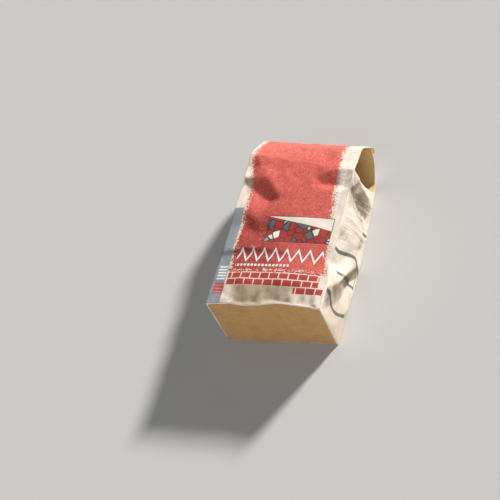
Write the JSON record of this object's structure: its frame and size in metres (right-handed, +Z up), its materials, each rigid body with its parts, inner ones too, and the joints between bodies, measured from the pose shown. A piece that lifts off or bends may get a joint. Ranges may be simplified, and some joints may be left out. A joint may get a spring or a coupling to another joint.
{
  "type": "bag of concrete mix",
  "caption": "Square-bottomed paper sack filled with dry concrete mix, lying on its back, its top folded to a ridge with one corner open.",
  "frame": {"origin": "middle of the sack's bounding box, on the floor that its back panel lies on", "axes": "+X across the sack towards its open corner, +Y from the pasted bottom end to the folded top, +Z up through the printed front panel"},
  "size_m": [0.2684, 0.4554, 0.1502],
  "materials": {
    "printed_paper": "matte printed kraft",
    "kraft_paper": "matte brown kraft",
    "dry_mix": "dull grey powder with sand and gravel"
  },
  "bodies": {
    "root": {"paper_sack": "printed_paper", "bottom_patch": "kraft_paper", "dry_mix": "dry_mix"}
  },
  "joints": []
}
